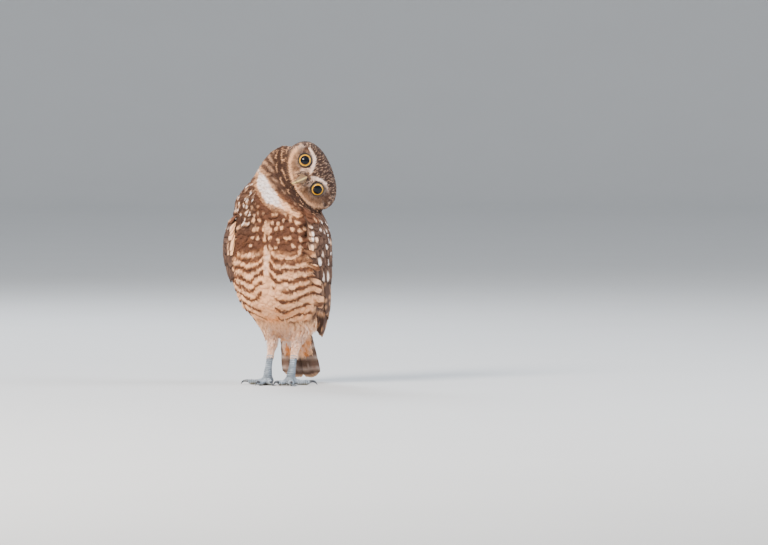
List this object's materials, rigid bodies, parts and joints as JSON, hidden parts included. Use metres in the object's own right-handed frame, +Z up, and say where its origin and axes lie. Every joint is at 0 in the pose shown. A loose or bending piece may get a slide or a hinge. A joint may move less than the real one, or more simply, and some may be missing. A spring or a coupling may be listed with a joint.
{
  "type": "burrowing owl",
  "caption": "Life-size standing burrowing owl with long bare legs, folded wings and its head rolled over on one side.",
  "frame": {"origin": "on the floor under the middle of the bird's bounding box", "axes": "+Z up, -Y the way the breast faces, +X the bird's own left"},
  "size_m": [0.1142, 0.1226, 0.2438],
  "materials": {
    "plumage": "soft body feathers, brown with buff spots above and buff with brown bars below",
    "wing": "brown flight and covert feathers with pale spots and bars",
    "tail": "brown tail feathers with buff bars",
    "face": "short bristly feathers, greyish buff with white brows",
    "skin": "blue-grey scaly skin of the bare legs and toes",
    "claw": "blue-black horn, half glossy",
    "bill": "pale greenish horn, half glossy",
    "eye": "wet and glossy, yellow iris round a black pupil"
  },
  "bodies": {
    "root": {"bill_lower": "bill", "bill_upper": "bill", "claw_left_1": "claw", "claw_left_2": "claw", "claw_left_3": "claw", "claw_left_4": "claw", "claw_right_1": "claw", "claw_right_2": "claw", "claw_right_3": "claw", "claw_right_4": "claw", "eye_left": "eye", "eye_right": "eye", "foot_left": "skin", "foot_right": "skin", "head": "face", "leg_left": "plumage", "leg_right": "plumage", "neck": "plumage", "tail": "tail", "toe_left_1": "skin", "toe_left_2": "skin", "toe_left_3": "skin", "toe_left_4": "skin", "toe_right_1": "skin", "toe_right_2": "skin", "toe_right_3": "skin", "toe_right_4": "skin", "torso": "plumage", "wing_left": "wing", "wing_right": "wing"}
  },
  "joints": []
}
